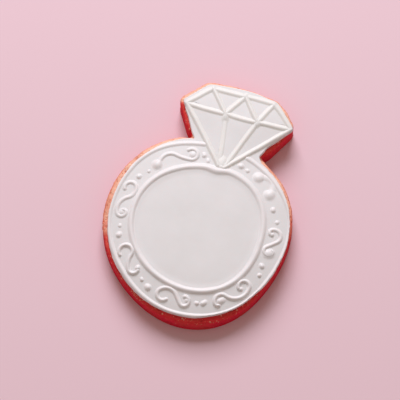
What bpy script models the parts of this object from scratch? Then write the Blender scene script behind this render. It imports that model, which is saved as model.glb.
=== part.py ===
"""An iced sugar cookie cut in the shape of a gem ring.

The pieces are a baked slab, the coat of icing that was flooded over it, and the icing piped on top: a border
line, an inner ring line, the lines of a cut gem, seven scrolls and sixteen pearls.

Frame: the origin is the middle of the ring on the flat base, +Y runs from the ring to the gem, and +Z is up.
Lengths below are in millimetres and angles in degrees. put_object() turns millimetres into metres.
"""

from collections import namedtuple

import bmesh
import bpy
import numpy as np

MM = 0.001

# ---- Heights ----
BISCUIT_HEIGHT = 10.2
BASE_EDGE_RADIUS = 0.8
RIM_RADIUS = 1.8            # the baked rim is rounded over
BASE_EDGE_STOPS = (0, 45, 90)       # degrees round each edge where it bends
RIM_STOPS = (0, 30, 60, 90)
ICING_EDGE_STOPS = (45, 90)
CONTACT_GAP = 0.3           # kept between pieces that lie on each other
ICING_THICKNESS = 1.2
ICING_EDGE_RADIUS = 0.55
ICING_FOOT_INSET = 0.28     # the coat's edge draws in a little where it meets the dough
ICING_BULGE_HEIGHT = 0.54   # height at which the coat reaches furthest out
ICING_BASE = BISCUIT_HEIGHT + CONTACT_GAP
PIPING_BASE = ICING_BASE + ICING_THICKNESS + CONTACT_GAP

# ---- The ring part of each outline ----
# A hand-cut circle: its centre, its mean radius, and the lobes that put it out of round, each as
# (number of lobes, height, direction of one lobe).
RingCurve = namedtuple("RingCurve", "centre radius lobes")
BISCUIT_RING = RingCurve((-1.55, 2.0), 39.65, ((2, 0.9, 109), (3, 0.9, 43), (4, 0.47, 26)))
ICING_RING = RingCurve((-1.08, 1.64), 37.99, ((2, 0.65, -76), (3, 0.4, 31), (4, 0.27, 29)))
BORDER_RING = RingCurve((-0.81, 1.14), 36.74, ((2, 0.39, 128), (3, 0.79, 35), (4, 0.27, 35), (6, 0.1, 17)))
INNER_RING = RingCurve((-0.84, 0.89), 27.14, ((2, 0.11, -12), (3, 0.66, 56), (4, 0.25, 51)))

# ---- The gem part of each outline ----
# Corners as (x, y, rounding radius), from the right notch over the crown to the left notch. The ring's curve
# runs between the two notch angles, the long way round.
BISCUIT_GEM = (
    (14.7, 38.9, 1.0),
    (17.6, 42.6, 8.0),
    (24.3, 55.9, 4.5),
    (18.6, 62.3, 8.0),
    (13.3, 65.7, 5.0),
    (0.0, 67.1, 60.0),
    (-17.1, 65.3, 6.0),
    (-27.0, 53.8, 4.5),
    (-19.0, 41.8, 6.0),
    (-15.4, 38.8, 1.0),
)
BISCUIT_NOTCHES = (60.0, 118.0)
ICING_GEM = (
    (13.7, 38.2, 1.0),
    (15.6, 43.2, 8.0),
    (23.9, 54.6, 1.6),
    (13.4, 64.3, 4.0),
    (0.0, 65.4, 40.0),
    (-16.0, 63.5, 4.0),
    (-24.6, 53.2, 1.8),
    (-16.3, 40.2, 5.0),
    (-14.2, 37.6, 1.0),
)
ICING_NOTCHES = (64.5, 113.0)
OUTLINE_SPACING = 2.3
RING_STEP = 2.5             # degrees between the points that a ring's curve is drawn with
CORNER_STEPS = 8            # pieces in a rounded corner
CORNER_SHARE = 0.48         # of a side, at most, that one rounded corner takes
SMOOTH_UP_TO = 50.0         # degrees between two faces that still look like one curved face

# ---- Piped lines ----
BEAD_FACETS = 5             # flats over the top of a piped bead
BORDER_HALF_WIDTH = 0.8
BORDER_HEIGHT = 0.65
BORDER_ENDS = (104.0, 434.0)    # anticlockwise, the long way round
INNER_HALF_WIDTH = 0.9
INNER_HEIGHT = 0.75
INNER_STEP = 4.5            # degrees between two cross-sections
PINCH_ANGLE = 90.5          # where the inner line's two ends were joined
PINCH_DEPTH = 1.0
PINCH_SPREAD = 8.0

# ---- Gem lines ----
GEM_POINTS = {
    "left": (-22.6, 51.9),
    "right": (22.3, 53.8),
    "crown_left": (-13.8, 61.6),
    "crown_middle": (0.1, 62.2),
    "crown_right": (12.6, 62.7),
    "girdle_left": (-5.4, 51.9),
    "girdle_right": (8.4, 52.3),
    "culet_left": (-1.1, 29.3),
    "culet_right": (1.3, 29.2),
}
GEM_CELLS = (
    ("left", "girdle_left", "crown_left"),
    ("crown_left", "girdle_left", "crown_middle"),
    ("girdle_left", "girdle_right", "crown_middle"),
    ("crown_middle", "girdle_right", "crown_right"),
    ("girdle_right", "right", "crown_right"),
    ("left", "culet_left", "girdle_left"),
    ("girdle_left", "culet_left", "culet_right", "girdle_right"),
    ("girdle_right", "culet_right", "right"),
)
GEM_BORDER = ("left", "crown_left", "crown_middle", "crown_right", "right", "culet_right", "culet_left")
# Half-width, height and bow of a line. The bow is how far its middle stands off the straight line.
GemLine = namedtuple("GemLine", "half_width height bow")
PLAIN_GEM_LINE = GemLine(0.9, 0.65, 0.0)
GEM_LINES = {
    frozenset(("crown_right", "right")): GemLine(0.9, 0.65, 0.35),
    frozenset(("left", "girdle_left")): GemLine(0.9, 0.65, -0.45),
    frozenset(("girdle_left", "girdle_right")): GemLine(0.9, 0.65, -0.35),
    frozenset(("left", "culet_left")): GemLine(0.9, 0.65, 0.25),
    frozenset(("girdle_left", "culet_left")): GemLine(0.6, 0.3, 0.3),
}
GEM_LINE_PIECES = 4         # straight pieces along one gem line
GEM_LINE_STEPS = (0.45, 0.8, 1.0)   # shares of the half-width where the flank bends

# ---- Scrolls ----
# A stroke starts at a point with a heading, and follows bends, each as (radius, turn), with a left turn
# positive. Its two ends are round blobs of their own radius.
Scroll = namedtuple("Scroll", "start heading bends ends")
STROKE_HALF_WIDTH = 0.7
STROKE_HEIGHT = 0.6
STROKE_SPACING = 0.95
BEND_STEPS = 24             # pieces that one bend is drawn with
BLOB_STOPS = (0, 30, 60, 90, 120, 150)      # degrees round an end's circle where it has a cross-section
PLAIN_END = STROKE_HALF_WIDTH
PLAIN_ENDS = (PLAIN_END, PLAIN_END)
SCROLLS = {
    "scroll_upper_right": Scroll(
        (14.2, 27.0), 44, ((8.2, -32.6), (3.8, -87), (5.2, -63.8)), (1.9, 1.9)
    ),
    "scroll_right": Scroll(
        (29.05, 6.84), 178.9, ((1.22, -143.5), (2.81, -171.2), (159, -1.7), (1.97, 204.4), (0.9, 150)),
        PLAIN_ENDS,
    ),
    "scroll_lower_right": Scroll(
        (23.84, -19.42), 148.8, ((2.29, -172.7), (2.16, -65.3), (6.33, -106.9), (2.86, 137.8), (1.25, 215)),
        PLAIN_ENDS,
    ),
    "scroll_bottom": Scroll(
        (-2.9, -31.63), -110.7, ((2.41, -204.7), (4.58, -93.6), (320, 0.7), (1.95, 261.7)), (PLAIN_END, 0.9)
    ),
    "scroll_lower_left": Scroll(
        (-26.75, -20.35), 154, ((2.45, -260), (7.7, 50), (2.1, 168)), (PLAIN_END, 1.0)
    ),
    "scroll_left": Scroll(
        (-34.16, 6.79), 136, ((2.42, -206.8), (4.28, -79.1), (5.71, 88.5), (1.91, 142), (1.15, 160.8)),
        PLAIN_ENDS,
    ),
    "scroll_upper_left": Scroll(
        (-25.53, 19.43), 81.7, ((57.7, -5.3), (4.58, -88.5), (17.44, 21.1), (2.4, 240)), (2.05, PLAIN_END)
    ),
}

# ---- Pearls ----
# Each as (name, x, y, radius), clockwise from the gem.
PEARLS = (
    ("pearl_gem_right_large", 8.0, 31.65, 1.2),
    ("pearl_gem_right_small", 11.1, 30.5, 0.9),
    ("pearl_upper_right_large", 26.3, 17.35, 1.1),
    ("pearl_upper_right_small", 29.4, 12.8, 0.9),
    ("pearl_lower_right_large", 29.2, -6.95, 1.1),
    ("pearl_lower_right_small", 29.35, -10.9, 0.9),
    ("pearl_bottom_right_large", 11.35, -29.3, 1.1),
    ("pearl_bottom_right_small", 9.05, -29.95, 0.9),
    ("pearl_bottom_left_large", -11.8, -29.85, 1.3),
    ("pearl_bottom_left_small", -15.2, -27.5, 0.8),
    ("pearl_lower_left_large", -30.35, -12.4, 1.2),
    ("pearl_lower_left_small", -31.2, -8.5, 0.8),
    ("pearl_upper_left_large", -30.8, 14.15, 1.1),
    ("pearl_upper_left_small", -27.6, 17.55, 0.75),
    ("pearl_gem_left_large", -8.05, 31.4, 1.05),
    ("pearl_gem_left_small", -5.75, 29.4, 0.85),
)
PEARL_HEIGHT_RATIO = 0.75   # of the pearl's radius
PEARL_SIDES = 10
PEARL_RINGS = 3

# ---- Finishes: colour, roughness ----
BAKED_DOUGH = ("baked_dough", (0.72, 0.42, 0.20), 0.85)
FLOOD_ICING = ("flood_icing", (0.80, 0.77, 0.74), 0.45)
PIPED_ICING = ("piped_icing", (0.86, 0.83, 0.81), 0.40)


def clear_scene():
    for old in list(bpy.data.objects):
        bpy.data.objects.remove(old, do_unlink=True)


def make_material(finish):
    name, colour, roughness = finish
    material = bpy.data.materials.new(name)
    material.use_nodes = True
    shader = material.node_tree.nodes["Principled BSDF"]
    shader.inputs["Base Color"].default_value = (*colour, 1.0)
    shader.inputs["Roughness"].default_value = roughness
    shader.inputs["Metallic"].default_value = 0.0
    return material


def put_object(name, vertices, faces, place, finish, parent):
    """Makes a mesh of millimetre vertices, given relative to place, into a named object."""
    mesh = bpy.data.meshes.new(name)
    mesh.from_pydata([tuple(v) for v in np.asarray(vertices) * MM], [], faces)
    shape = bmesh.new()
    shape.from_mesh(mesh)
    bmesh.ops.recalc_face_normals(shape, faces=shape.faces)
    shape.to_mesh(mesh)
    shape.free()
    mesh.shade_smooth()
    mesh.set_sharp_from_angle(angle=np.radians(SMOOTH_UP_TO))
    mesh.materials.append(make_material(finish))
    thing = bpy.data.objects.new(name, mesh)
    thing.location = [c * MM for c in place]
    thing.parent = parent
    bpy.context.collection.objects.link(thing)
    return thing


# ---- Outlines ----
def ring_points(curve, angles):
    """Points of a ring curve: its radius plus a cosine for each of its lobes."""
    radius = np.full(len(angles), curve.radius)
    for count, height, direction in curve.lobes:
        radius += height * np.cos(np.radians(count * (angles - direction)))
    turn = np.radians(angles)
    return np.array(curve.centre) + radius[:, None] * np.stack([np.cos(turn), np.sin(turn)], axis=1)


def round_corner(before, corner, after, radius):
    """An arc of the given radius that touches both sides of a corner."""
    side_before = np.linalg.norm(before - corner)
    side_after = np.linalg.norm(after - corner)
    to_before = (before - corner) / side_before
    to_after = (after - corner) / side_after
    half_angle = 0.5 * np.arccos(np.clip(to_before @ to_after, -1.0, 1.0))
    reach = min(radius / np.tan(half_angle), CORNER_SHARE * side_before, CORNER_SHARE * side_after)
    start = corner + reach * to_before
    end = corner + reach * to_after
    t = np.linspace(0.0, 1.0, CORNER_STEPS + 1)[:, None]
    # A quadratic curve through the two touching points, drawn towards the corner, is close to the arc.
    return (1 - t) ** 2 * start + 2 * t * (1 - t) * corner + t**2 * end


def cookie_outline(ring, gem_corners, notches, spacing):
    """The closed outline: the ring's curve the long way round, then the gem's rounded corners."""
    right_notch, left_notch = notches
    ring_part = ring_points(ring, np.arange(left_notch, right_notch + 360.0, RING_STEP))
    corners = np.array([corner[:2] for corner in gem_corners])
    chain = np.vstack([ring_part[-1:], corners, ring_part[:1]])
    gem_part = [
        round_corner(chain[i], chain[i + 1], chain[i + 2], corner[2]) for i, corner in enumerate(gem_corners)
    ]
    return resample_closed(np.vstack([ring_part, *gem_part]), spacing)


def resample_closed(points, spacing):
    """Points at an even spacing along a closed line."""
    loop = np.vstack([points, points[:1]])
    along = np.concatenate([[0.0], np.cumsum(np.linalg.norm(np.diff(loop, axis=0), axis=1))])
    count = int(round(along[-1] / spacing))
    stops = np.linspace(0.0, along[-1], count, endpoint=False)
    return np.stack([np.interp(stops, along, loop[:, axis]) for axis in (0, 1)], axis=1)


def inset(outline, distance):
    """A closed outline, anticlockwise, moved inwards along its normals."""
    along = np.roll(outline, -1, axis=0) - np.roll(outline, 1, axis=0)
    along /= np.linalg.norm(along, axis=1, keepdims=True)
    inward = np.stack([-along[:, 1], along[:, 0]], axis=1)
    return outline + distance * inward


def stack_of_loops(loops):
    """Vertices and faces of a closed body: a stack of (outline, height) loops with a cap at each end."""
    size = len(loops[0][0])
    vertices = [np.column_stack([loop, np.full(size, height)]) for loop, height in loops]
    faces = [list(range(size))[::-1]]
    for level in range(len(loops) - 1):
        low, high = level * size, (level + 1) * size
        for i in range(size):
            j = (i + 1) % size
            faces.append([low + i, low + j, high + j, high + i])
    faces.append(list(range((len(loops) - 1) * size, len(loops) * size)))
    return np.vstack(vertices), faces


# ---- Slabs ----
def make_biscuit(parent):
    """The baked slab: a flat base with a small edge radius, an upright side and a rounded rim."""
    outline = cookie_outline(BISCUIT_RING, BISCUIT_GEM, BISCUIT_NOTCHES, OUTLINE_SPACING)
    loops = []
    for angle in np.radians(BASE_EDGE_STOPS):
        edge = BASE_EDGE_RADIUS * (1 - np.sin(angle))
        loops.append((inset(outline, edge), BASE_EDGE_RADIUS * (1 - np.cos(angle))))
    for angle in np.radians(RIM_STOPS):
        edge = RIM_RADIUS * (1 - np.cos(angle))
        loops.append((inset(outline, edge), BISCUIT_HEIGHT - RIM_RADIUS * (1 - np.sin(angle))))
    vertices, faces = stack_of_loops(loops)
    return put_object("biscuit", vertices, faces, (0, 0, 0), BAKED_DOUGH, parent)


def make_icing_coat(parent):
    """The flooded coat: an even sheet with a half-round edge."""
    outline = cookie_outline(ICING_RING, ICING_GEM, ICING_NOTCHES, OUTLINE_SPACING)
    top = ICING_THICKNESS - ICING_EDGE_RADIUS
    loops = [(inset(outline, ICING_FOOT_INSET), 0.0), (outline, ICING_BULGE_HEIGHT)]
    for angle in np.radians(ICING_EDGE_STOPS):
        edge = ICING_EDGE_RADIUS * (1 - np.cos(angle))
        loops.append((inset(outline, edge), top + ICING_EDGE_RADIUS * np.sin(angle)))
    vertices, faces = stack_of_loops(loops)
    return put_object("icing_coat", vertices, faces, (0, 0, ICING_BASE), FLOOD_ICING, parent)


# ---- Piped beads ----
def bead(path, half_width, height, closed):
    """A bead along a path: half an ellipse over a flat foot. An open path ends in a point at both ends."""
    if closed:
        along = np.roll(path, -1, axis=0) - np.roll(path, 1, axis=0)
    else:
        along = np.gradient(path, axis=0)
    along /= np.linalg.norm(along, axis=1, keepdims=True)
    side = np.stack([along[:, 1], -along[:, 0]], axis=1)
    turn = np.linspace(0.0, np.pi, BEAD_FACETS + 1)
    across = half_width[:, None] * np.cos(turn)
    up = height[:, None] * np.sin(turn)
    rows = np.concatenate([path[:, None, :] + side[:, None, :] * across[..., None], up[..., None]], axis=2)
    size = BEAD_FACETS + 1
    count = len(path)
    if closed:
        pairs = [(i, (i + 1) % count) for i in range(count)]
        vertices = rows.reshape(-1, 3)
        return vertices, [quad for pair in pairs for quad in bead_band(*pair, size)]
    inner = rows[1:-1].reshape(-1, 3)
    tips = np.column_stack([path[[0, -1]], [0.0, 0.0]])
    vertices = np.vstack([inner, tips])
    faces = [quad for i in range(count - 3) for quad in bead_band(i, i + 1, size)]
    first_tip, last_tip = len(inner), len(inner) + 1
    last = (count - 3) * size
    for k in range(size):
        nxt = (k + 1) % size
        faces.append([first_tip, nxt, k])
        faces.append([last_tip, last + k, last + nxt])
    return vertices, faces


def bead_band(row, next_row, size):
    """The faces between two cross-sections of a bead, its flat foot included."""
    here, there = row * size, next_row * size
    return [[here + k, here + (k + 1) % size, there + (k + 1) % size, there + k] for k in range(size)]


def make_border_line(parent):
    """The line round the ring's edge, from one side of the gem to the other."""
    left_end, right_end = BORDER_ENDS
    path = ring_points(BORDER_RING, np.arange(left_end, right_end + RING_STEP, RING_STEP))
    stops = bead_stops(path_length(path), BORDER_HALF_WIDTH, BORDER_HALF_WIDTH, OUTLINE_SPACING)
    width, height = blob_ends(stops, BORDER_HALF_WIDTH, BORDER_HEIGHT, (BORDER_HALF_WIDTH, BORDER_HALF_WIDTH))
    vertices, faces = bead(points_at(path, stops), width, height, closed=False)
    return put_object("border_line", vertices, faces, (0, 0, PIPING_BASE), PIPED_ICING, parent)


def make_inner_line(parent):
    """The closed line round the middle, pinched inwards where its two ends were joined."""
    angles = np.arange(0.0, 360.0, INNER_STEP)
    path = ring_points(INNER_RING, angles)
    pinch = PINCH_DEPTH * np.exp(-(((angles - PINCH_ANGLE) / PINCH_SPREAD) ** 2))
    outward = path - np.array(INNER_RING.centre)
    path -= outward / np.linalg.norm(outward, axis=1, keepdims=True) * pinch[:, None]
    even = np.ones(len(path))
    vertices, faces = bead(path, INNER_HALF_WIDTH * even, INNER_HEIGHT * even, closed=True)
    return put_object("inner_ring_line", vertices, faces, (0, 0, PIPING_BASE), PIPED_ICING, parent)


def path_length(path):
    return float(np.sum(np.linalg.norm(np.diff(path, axis=0), axis=1)))


def points_at(path, stops):
    """Points of a polyline at the given distances along it."""
    along = np.concatenate([[0.0], np.cumsum(np.linalg.norm(np.diff(path, axis=0), axis=1))])
    return np.stack([np.interp(stops, along, path[:, axis]) for axis in (0, 1)], axis=1)


def bead_stops(length, start_radius, end_radius, spacing):
    """Distances along a stroke: close together round each end's blob and evenly spaced between them."""
    swell = 1 - np.cos(np.radians(BLOB_STOPS))
    start = start_radius * swell
    end = length - end_radius * swell[::-1]
    middle = np.linspace(start[-1], end[0], max(2, int(round((end[0] - start[-1]) / spacing)) + 1))
    return np.concatenate([start[:-1], middle, end[1:]])


def blob_ends(stops, half_width, height, end_radii):
    """Half-width and height along a stroke that begins and ends in a round blob.

    Within a blob the half-width follows its circle. A wide blob is higher than the stroke, by the square root
    of how much wider it is."""
    length = stops[-1]
    width = np.full(len(stops), half_width)
    for radius, distance in ((end_radii[0], stops), (end_radii[1], length - stops)):
        circle = np.sqrt(np.clip(radius**2 - (distance - radius) ** 2, 0.0, None))
        width = np.where(distance < radius, circle, np.maximum(width, circle))
    ratio = width / half_width
    return width, height * np.where(ratio < 1.0, ratio, np.sqrt(ratio))


def follow_bends(start, heading, bends):
    """A fine polyline that leaves a point with a heading and follows arcs of (radius, turn)."""
    position = np.array(start, dtype=float)
    direction = np.radians(heading)
    line = [position]
    for radius, turn in bends:
        sense = np.sign(turn)
        centre = position + sense * radius * np.array([-np.sin(direction), np.cos(direction)])
        angles = direction + np.radians(np.linspace(0.0, turn, BEND_STEPS + 1)[1:])
        line.extend(centre + sense * radius * np.stack([np.sin(angles), -np.cos(angles)], axis=1))
        position = line[-1]
        direction = angles[-1]
    return np.array(line)


def make_scroll(name, scroll, parent):
    """A piped scroll: one stroke along its bends, with its object's origin where the stroke starts."""
    path = follow_bends((0.0, 0.0), scroll.heading, scroll.bends)
    stops = bead_stops(path_length(path), *scroll.ends, STROKE_SPACING)
    width, height = blob_ends(stops, STROKE_HALF_WIDTH, STROKE_HEIGHT, scroll.ends)
    vertices, faces = bead(points_at(path, stops), width, height, closed=False)
    return put_object(name, vertices, faces, (*scroll.start, PIPING_BASE), PIPED_ICING, parent)


def make_pearl(name, x, y, radius, parent):
    """A piped dot: a low dome on a flat foot."""
    loops = []
    around = np.linspace(0.0, 2 * np.pi, PEARL_SIDES, endpoint=False)
    circle = np.stack([np.cos(around), np.sin(around)], axis=1)
    for rise in np.linspace(0.0, 0.5 * np.pi, PEARL_RINGS + 1)[:-1]:
        loops.append((radius * np.cos(rise) * circle, PEARL_HEIGHT_RATIO * radius * np.sin(rise)))
    vertices, faces = stack_of_loops(loops)
    top = len(vertices)
    vertices = np.vstack([vertices, [[0.0, 0.0, PEARL_HEIGHT_RATIO * radius]]])
    rim = faces.pop()
    faces.extend([rim[i], rim[(i + 1) % PEARL_SIDES], top] for i in range(PEARL_SIDES))
    return put_object(name, vertices, faces, (x, y, PIPING_BASE), PIPED_ICING, parent)


# ---- Gem lines ----
def gem_line(first, last):
    """The ground points of one gem line without its last, bowed to the side of its middle."""
    names = sorted((first, last))
    start, end = (np.array(GEM_POINTS[name]) for name in names)
    line = GEM_LINES.get(frozenset(names), PLAIN_GEM_LINE)
    share = np.linspace(0.0, 1.0, GEM_LINE_PIECES + 1)[:, None]
    across = np.array([start[1] - end[1], end[0] - start[0]]) / np.linalg.norm(end - start)
    if across[1] < 0:
        across = -across
    points = start + share * (end - start) + line.bow * np.sin(np.pi * share) * across
    return line, points if names[0] == first else points[::-1]


def gem_loop(corner_names):
    """Vertex keys, ground points, sideways reach and crest heights round a closed loop of gem lines.

    The reach points to the left of the way round and takes a crest point to the foot of its line. At a corner
    it goes to the point that lies one half-width from both lines that meet there."""
    keys, points, reaches, heights = [], [], [], []
    count = len(corner_names)
    sides = []
    for i in range(count):
        line, ground = gem_line(corner_names[i], corner_names[(i + 1) % count])
        along = np.gradient(ground, axis=0)
        along /= np.linalg.norm(along, axis=1, keepdims=True)
        sides.append((line, ground, np.stack([-along[:, 1], along[:, 0]], axis=1)))
    for i, name in enumerate(corner_names):
        line, ground, left = sides[i]
        line_before, _, left_before = sides[i - 1]
        normals = np.array([left[0], left_before[-1]])
        reaches.append(np.linalg.solve(normals, [line.half_width, line_before.half_width]))
        keys.append(name)
        points.append(ground[0])
        heights.append(PLAIN_GEM_LINE.height)
        next_name = corner_names[(i + 1) % count]
        for k in range(1, GEM_LINE_PIECES):
            piece = k if name < next_name else GEM_LINE_PIECES - k
            keys.append((*sorted((name, next_name)), piece))
            points.append(ground[k])
            reaches.append(line.half_width * left[k])
            heights.append(line.height)
    return keys, np.array(points), np.array(reaches), np.array(heights)


def make_gem_lines(parent):
    """All the gem's lines as one body.

    Each facet's loop climbs from the foot of its lines to their crests by a quarter of an ellipse, and shares
    the crests and the middle of the flat foot with its neighbours. One more loop does the same outside."""
    vertices, faces, crest, foot = [], [], {}, {}
    for corner_names in (*GEM_CELLS, GEM_BORDER):
        keys, points, reaches, heights = gem_loop(corner_names)
        for key, point, height in zip(keys, points, heights):
            if key not in crest:
                crest[key] = len(vertices)
                foot[key] = len(vertices) + 1
                vertices.extend([(*point, height), (*point, 0.0)])
        levels = [[crest[key] for key in keys]]
        for step in GEM_LINE_STEPS:
            levels.append(list(range(len(vertices), len(vertices) + len(keys))))
            level = points + step * reaches
            vertices.extend(np.column_stack([level, heights * np.sqrt(1 - step**2)]))
        levels.append([foot[key] for key in keys])
        for upper, lower in zip(levels[:-1], levels[1:]):
            for i in range(len(keys)):
                j = (i + 1) % len(keys)
                faces.append([upper[i], upper[j], lower[j], lower[i]])
    return put_object("gem_lines", vertices, faces, (0, 0, PIPING_BASE), PIPED_ICING, parent)


def main():
    clear_scene()
    cookie = bpy.data.objects.new("cookie", None)
    bpy.context.collection.objects.link(cookie)
    make_biscuit(cookie)
    make_icing_coat(cookie)
    make_border_line(cookie)
    make_inner_line(cookie)
    make_gem_lines(cookie)
    for name, scroll in SCROLLS.items():
        make_scroll(name, scroll, cookie)
    for name, x, y, radius in PEARLS:
        make_pearl(name, x, y, radius, cookie)
    bpy.context.view_layer.update()


main()
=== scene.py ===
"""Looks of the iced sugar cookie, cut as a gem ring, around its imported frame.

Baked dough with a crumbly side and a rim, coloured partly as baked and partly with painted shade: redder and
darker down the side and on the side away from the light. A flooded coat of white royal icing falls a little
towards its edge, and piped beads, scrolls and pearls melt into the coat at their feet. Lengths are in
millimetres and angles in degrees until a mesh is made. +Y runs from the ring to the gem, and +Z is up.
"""

from collections import namedtuple

import bmesh
import bpy
import numpy as np
from mathutils import Matrix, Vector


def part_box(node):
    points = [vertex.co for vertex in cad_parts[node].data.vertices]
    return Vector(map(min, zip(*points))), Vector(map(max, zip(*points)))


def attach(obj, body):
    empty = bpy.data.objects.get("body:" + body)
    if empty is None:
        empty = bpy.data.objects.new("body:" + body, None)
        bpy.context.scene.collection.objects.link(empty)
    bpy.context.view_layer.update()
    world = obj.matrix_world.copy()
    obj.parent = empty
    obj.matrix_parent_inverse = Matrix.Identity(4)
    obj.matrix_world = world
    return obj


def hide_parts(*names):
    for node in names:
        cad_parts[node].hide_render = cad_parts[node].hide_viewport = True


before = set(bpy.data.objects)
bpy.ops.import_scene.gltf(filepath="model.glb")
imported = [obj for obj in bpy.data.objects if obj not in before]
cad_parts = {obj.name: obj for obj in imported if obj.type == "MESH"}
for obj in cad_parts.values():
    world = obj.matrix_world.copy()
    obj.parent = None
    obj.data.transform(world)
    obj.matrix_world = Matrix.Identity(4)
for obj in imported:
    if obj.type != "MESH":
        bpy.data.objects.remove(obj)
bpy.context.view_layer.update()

MM = 0.001
SAME_POINT = 0.0001         # points nearer than this are merged
TINY = 1e-6                 # keeps a division from being by nought


def node_height(node):
    """Lowest and highest z of a frame node, in millimetres."""
    low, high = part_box(node)
    return low.z / MM, high.z / MM


# ---- Heights, from the frame ----
BASE, DOUGH_TOP = node_height("biscuit")
COAT_TOP = node_height("icing_coat")[1]
CROWN_RISE = 0.25           # the coat is thicker in the middle than the frame's flat one
COAT_CROWN = COAT_TOP + CROWN_RISE
COAT_FALL = 1.45            # how far the coat's surface falls from the middle to its edge
DOUGH_FALL = 0.8            # the same for the dough's top
FALL_REACH = 37.0           # the distance from the middle to the edge
FALL_POWER = 4
FALL_MOST = 1.2             # beyond the edge the fall goes on, to at most this share before the power
FALL_EVEN_OUT = 24          # rounds of averaging with the neighbours
FALL_LEAN = 0.5             # how much more it falls on the far side, and less on the gem's side
FALL_LEAN_STOP = 0.6
COAT_SINK = 0.6             # the coat reaches this far into the dough, so that no gap shows
COAT_WAVE, COAT_WAVE_SIZE = 0.035, 14.0     # slow unevenness of the coat's surface: height, size
DOUGH_WAVE, DOUGH_WAVE_SIZE = 0.05, 9.0
CREEP_HEIGHT = 0.17         # the flood creeps up to the inner line, from FAR to NEAR on each side of it
CREEP_NEAR = 1.6
CREEP_FAR = 3.8
# inside the line it rises by the sum of these shares of that height, and outside it by their difference
CREEP_SHARE, CREEP_LEAN = 0.7, 0.3

# ---- Seeds of the random fields ----
SEEDS = {
    "dough_waves": 3, "coat_waves": 5, "crumbs": 7, "side": 11, "broad_pits": 23, "small_pits": 29,
    "coat_edge": 41, "border": 51, "inner_line": 61, "gem_sway": 70, "painted_shade": 71, "gem_lines": 80,
    "gem_fill": 129, "gem_blobs": 130, "scrolls": 151, "pearls": 201,
}
LINE_SEEDS = 2              # a gem line takes this many seeds in turn,
SCROLL_SEEDS = 3            # and a scroll this many
FILL_SEEDS = 40             # a scroll's fills have seeds this far after its own

# ---- The ring part of each outline: centre, mean radius, lobes (number, height, direction) ----
RingCurve = namedtuple("RingCurve", "centre radius lobes")
BISCUIT_RING = RingCurve((-1.55, 2.0), 39.65, ((2, 0.9, 109), (3, 0.9, 43), (4, 0.47, 26)))
ICING_RING = RingCurve((-1.08, 1.9), 37.85, ((2, 0.65, -76), (3, 0.40, 31), (4, 0.27, 29)))
BORDER_RING = RingCurve((-0.65, 1.1), 36.94, ((2, 0.5, 142), (3, 0.76, 34), (4, 0.3, 34), (6, 0.2, 16)))
INNER_RING = RingCurve((-0.84, 0.89), 27.14, ((2, 0.11, -12), (3, 0.66, 56), (4, 0.25, 51)))

# ---- The gem part of each outline: corners as (x, y, rounding radius), right notch to left notch ----
BISCUIT_GEM = (
    (14.7, 38.9, 1.0), (17.6, 42.6, 8.0), (24.3, 55.9, 4.5), (18.6, 62.3, 8.0), (13.3, 65.7, 5.0),
    (0.0, 67.1, 60.0), (-17.1, 65.3, 6.0), (-27.0, 53.8, 4.5), (-19.0, 41.8, 6.0), (-15.4, 38.8, 1.0),
)
BISCUIT_NOTCHES = (60.0, 118.0)
ICING_GEM = (
    (13.7, 38.2, 1.0), (15.6, 43.2, 8.0), (23.9, 54.6, 1.6), (13.4, 64.3, 4.0), (0.0, 65.4, 40.0),
    (-16.0, 63.5, 4.0), (-24.6, 53.2, 1.8), (-16.3, 40.2, 5.0), (-14.2, 37.6, 1.0),
)
ICING_NOTCHES = (64.5, 113.0)

# ---- Outlines ----
CURVE_STEP = 0.5            # degrees between the points of a ring curve
CORNER_POINTS = 17
CORNER_SHARE = 0.48         # a rounded corner takes at most this share of its shorter side
GEM_ABOVE = 50.0            # the gem's crown is above this

# ---- Slab sections ----
HALF_COLUMNS = 440          # grid columns round each half of a slab
BASE_EDGE_RADIUS = 0.8
RIM_RADIUS = 1.8
COAT_EDGE_RADIUS = 0.4
COAT_EDGE_FROM = -60.0      # the coat's edge starts this far round under its widest point
COAT_SHELF_WIDTH = 3.2      # of the close rows beside the coat's edge
EDGE_WANDER, EDGE_WANDER_SIZE = 0.14, 5.0   # how far the coat's edge strays, and over what length
# Grid rows of the biscuit: the base, its edge, the side, the rim, the shelf beside it, and on under the icing
BASE_ROWS, BASE_EDGE_ROWS, SIDE_ROWS, RIM_ROWS, SHELF_ROWS, UNDER_ICING_ROWS = 13, 8, 31, 16, 9, 13
# Grid rows of the coat: the underside, the edge, the shelf beside it, and the rest of the top
COAT_BASE_ROWS, COAT_EDGE_ROWS, COAT_SHELF_ROWS, COAT_TOP_ROWS = 10, 16, 10, 62
SPINE_X = -1.3              # the line inside a slab that its columns run to
SPINE_STEPS = ((22.0, 0.0), (39.0, 38.0), (56.0, 52.0))     # outline height -> height on that line

# ---- Piped lines ----
SKIRT = 1.6                 # a bead's foot runs out to this many half-widths
FOOT_SOFTNESS = 0.42        # how wide the hollow at a bead's foot is
BEAD_ROUNDNESS = 2.1        # 2 is a parabola, and more is flatter on top
FLAT_ROUNDNESS = 5.0        # of the faint line that lies flat on the coat
FLAT_UP_TO = 0.4
UNEVEN = 0.05               # how much a hand-piped line swells and thins, over UNEVEN_SIZE
UNEVEN_SIZE = 3.5
UNEVEN_HEIGHT = 1.2 * UNEVEN
UNEVEN_HEIGHT_SIZE = 2.6
SEED_RISE = 7.0             # each bead reads the noise at its own level, this many millimetres a seed
BEAD_COLUMNS = 25
NOSE_ROWS = 9               # of the rounded nose at each end
BEND_ROOM = 0.97            # a skirt stops this share of the way to a bend's middle, or half that in a stroke
BEAD_SINK = 0.35            # how far a bead's underside lies in the coat
SKIRT_DIP = 0.02            # how far the outer end of a skirt dips into the coat
BEAD_SPACING = 0.28
BLOB_FROM = 1.3             # an end is a blob if its radius is this many half-widths
BLOB_REACH = 1.15
END_TAPER = 4.0             # the length over which a line thins to a small end
EASE_POWER = 5              # of the ease between a line and its blob
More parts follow.
